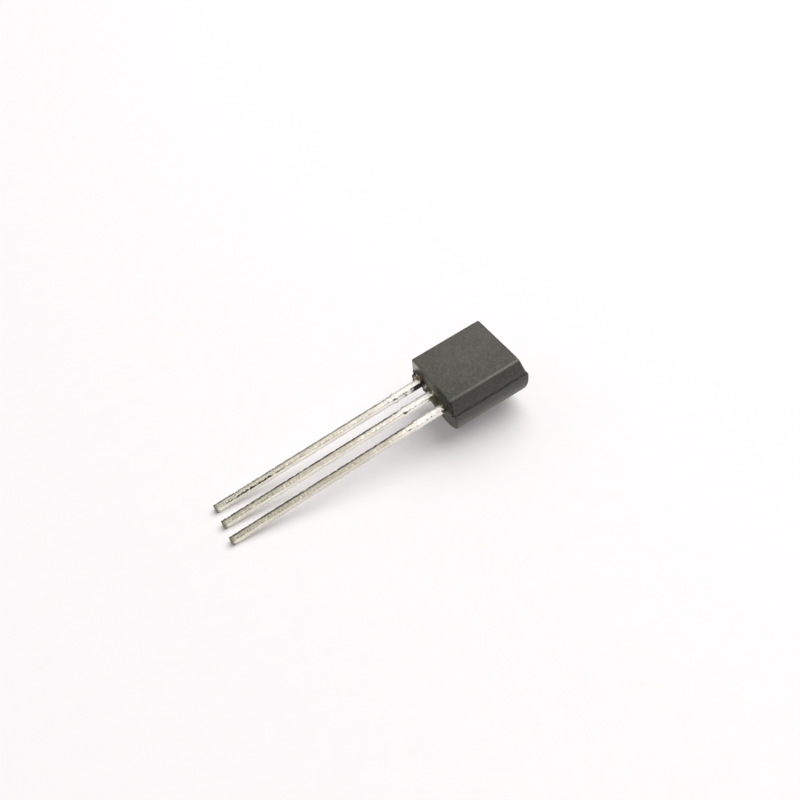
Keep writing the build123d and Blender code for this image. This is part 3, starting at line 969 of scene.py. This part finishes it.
left = times(tree, given["Half width"], -1.0)
outer = times(tree, given["Reach"], -1.0)
box_low = first_out(tree, "ShaderNodeCombineXYZ", {0: outer, 1: left, 2: given["Low"]})
box_high = first_out(tree, "ShaderNodeCombineXYZ", {0: 0.06, 1: given["Half width"], 2: given["High"]})
spots = chance("FLOAT_VECTOR", box_low, box_high, 0)
points = first_out(tree, "GeometryNodePoints", {"Count": given["Count"], "Position": spots})
ball = first_out(tree, "GeometryNodeMeshIcoSphere", {"Radius": 1.0, "Subdivisions": 3})
size = chance("FLOAT", given["Smallest"], given["Largest"], 1)
spin = chance("FLOAT_VECTOR", (0, 0, 0), (6.28, 6.28, 6.28), 2)
scattered = {"Points": points, "Instance": ball, "Rotation": spin, "Scale": size}
crumbs = first_out(tree, "GeometryNodeInstanceOnPoints", scattered)
crumbs = first_out(tree, "GeometryNodeRealizeInstances", {0: crumbs})
position = first_out(tree, "GeometryNodeInputPosition")
facing = first_out(tree, "GeometryNodeInputNormal")
dent = calc(tree, "MULTIPLY_ADD", cloud(tree, position, 16, 3, 0.7, given["Seed"]), 0.16, -0.09)
push = first_out(tree, "ShaderNodeVectorMath", {0: facing, "Scale": dent}, operation="SCALE")
crumbs = first_out(tree, "GeometryNodeSetPosition", {"Geometry": crumbs, "Offset": push})
flash = ease(tree, cloud(tree, position, 3, 2, 0.5, 9), 0.40, 0.60, 0.55, 1.0)
crumbs = store(tree, crumbs, "flash", flash)
end_rule(tree, crumbs, given["Material"])

crumbs = grow(
    "crumbs", crumb_rule, resin, Half_width=1.80, Reach=0.13, Low=-0.25, High=0.36, Count=85,
    Smallest=0.035, Largest=0.085, Seed=4,
)
face_outwards(crumbs.data)
print("crumbs:", len(crumbs.data.polygons), "faces")

# %% [markdown]
# ## One case
# The real case came out of the mould in one piece, so the shell, the fin, the lip, the web and the crumbs
# become one object. Faces that meet at more than 35 degrees keep a crisp edge, and all others are smooth.

# %% Join the case
bm = bmesh.new()
for mesh in (case.data, fin.data, lip_mesh, web_mesh, crumbs.data):
    bm.from_mesh(mesh)
whole = bpy.data.meshes.new("case_shell")
bm.to_mesh(whole)
bm.free()
for spent in (case, fin, crumbs):
    bpy.data.objects.remove(spent)
whole.polygons.foreach_set("use_smooth", [True] * len(whole.polygons))
whole.polygons.foreach_set("material_index", [0] * len(whole.polygons))
whole.set_sharp_from_angle(angle=radians(35))
whole.materials.clear()
whole.materials.append(resin)
whole.transform(package)
case_shell = bpy.data.objects.new("case_shell", whole)
bpy.context.scene.collection.objects.link(case_shell)
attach(case_shell, "root")
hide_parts("moulded_case")
print("case shell:", len(whole.polygons), "faces")

# %% [markdown]
# ## Chip and bond wires
# Inside the case sit the silicon chip and two gold wires, each thinner than a hair. Nobody sees them until
# the case is opened or cut, but they belong to the object. Their CAD shapes are right as they are, so
# they keep them and only get finishes: dark silicon with a pattern of metal pads, and drawn gold.

# %% Chip and wires
silicon, tree, shader = new_finish("silicon")
point, x, y, z = package_point(tree)
oxide = cloud(tree, point, 5, 3, 0.5, 21)
colour = blend_colour(tree, oxide, (0.16, 0.17, 0.22, 1), (0.30, 0.30, 0.34, 1))
die_x, die_top, pad_y, pad_half = 3.20, 0.39, 0.14, 0.08
pad_edge = calc(tree, "ABSOLUTE", calc(tree, "SUBTRACT", calc(tree, "ABSOLUTE", y), pad_y))
pad_edge = calc(tree, "MAXIMUM", pad_edge, calc(tree, "ABSOLUTE", calc(tree, "SUBTRACT", x, die_x)))
on_die_top = ease(tree, z, die_top - 0.02, die_top - 0.01)
pad = times(tree, ease(tree, pad_edge, pad_half, pad_half - 0.01), on_die_top)
colour = blend_colour(tree, pad, colour, (0.86, 0.86, 0.84, 1))
rough = calc(tree, "MULTIPLY_ADD", oxide, 0.2, 0.12)
metal = calc(tree, "MULTIPLY_ADD", pad, 0.7, 0.25)
set_finish(tree, shader, {"Base Color": colour, "Roughness": rough, "Metallic": metal})

gold, tree, shader = new_finish("drawn gold")
point, *_ = package_point(tree)
drawn = cloud(tree, stretch(tree, point, 4, 40, 40), 1, 2, 0.5, 22)
colour = blend_colour(tree, drawn, (0.78, 0.55, 0.20, 1), (0.92, 0.71, 0.34, 1))
rough = calc(tree, "MULTIPLY_ADD", drawn, 0.2, 0.15)
set_finish(tree, shader, {"Base Color": colour, "Roughness": rough})
shader.inputs["Metallic"].default_value = 1.0

for name, finish in (("die", silicon), ("emitter_wire", gold), ("base_wire", gold)):
    node = frame["nodes"][name]
    node.data.materials.clear()
    node.data.materials.append(finish)
    print(name, "keeps its CAD shape and gets", finish.name)

# %% [markdown]
# ## Box of the dressed object
# The box round the dressed object is printed in millimetres.

# %% Box of the dressed object
low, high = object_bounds()
print("visual box in mm:", [round(1000 * v, 3) for v in (*low, *high)])
